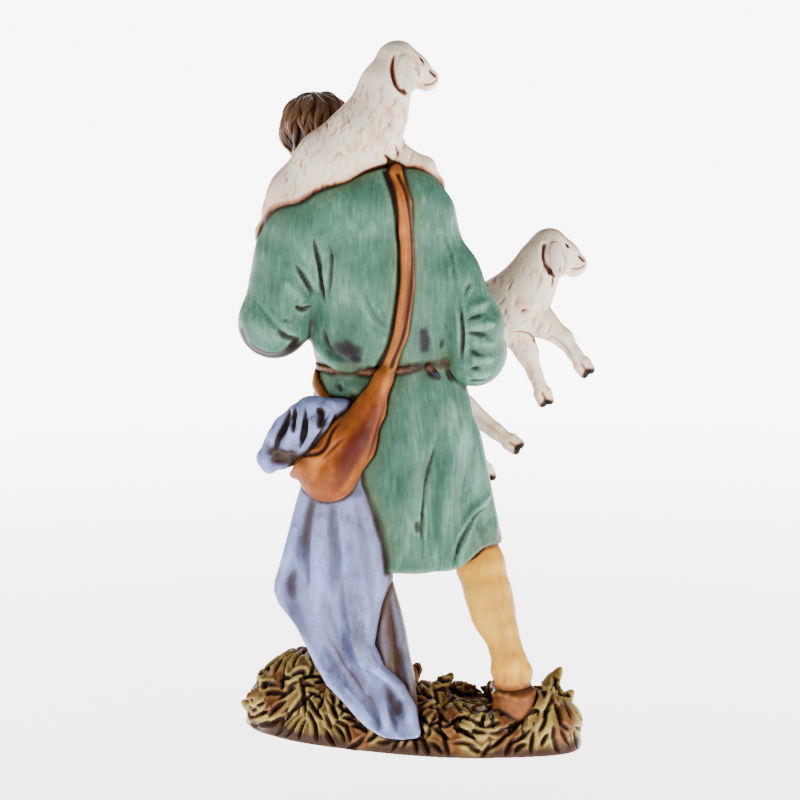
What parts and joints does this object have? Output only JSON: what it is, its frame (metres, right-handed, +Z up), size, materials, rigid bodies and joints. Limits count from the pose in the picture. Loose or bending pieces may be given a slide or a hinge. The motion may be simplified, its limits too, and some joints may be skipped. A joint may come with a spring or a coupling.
{
  "type": "presepe figure",
  "caption": "Painted presepe figure of a walking shepherd with lambs across his shoulders and on his arm, a bag, a long cloth and a grassy base.",
  "frame": {"origin": "centre of the oval base, on its flat underside", "axes": "+Z up; the figure walks and faces along -Y; its left side, with the bag, is +X"},
  "size_m": [0.0686, 0.0416, 0.1353],
  "materials": {
    "painted_resin": "hand painted with a dark antique wash under a satin varnish"
  },
  "bodies": {
    "root": {"shepherd_figure": "painted_resin"}
  },
  "joints": []
}
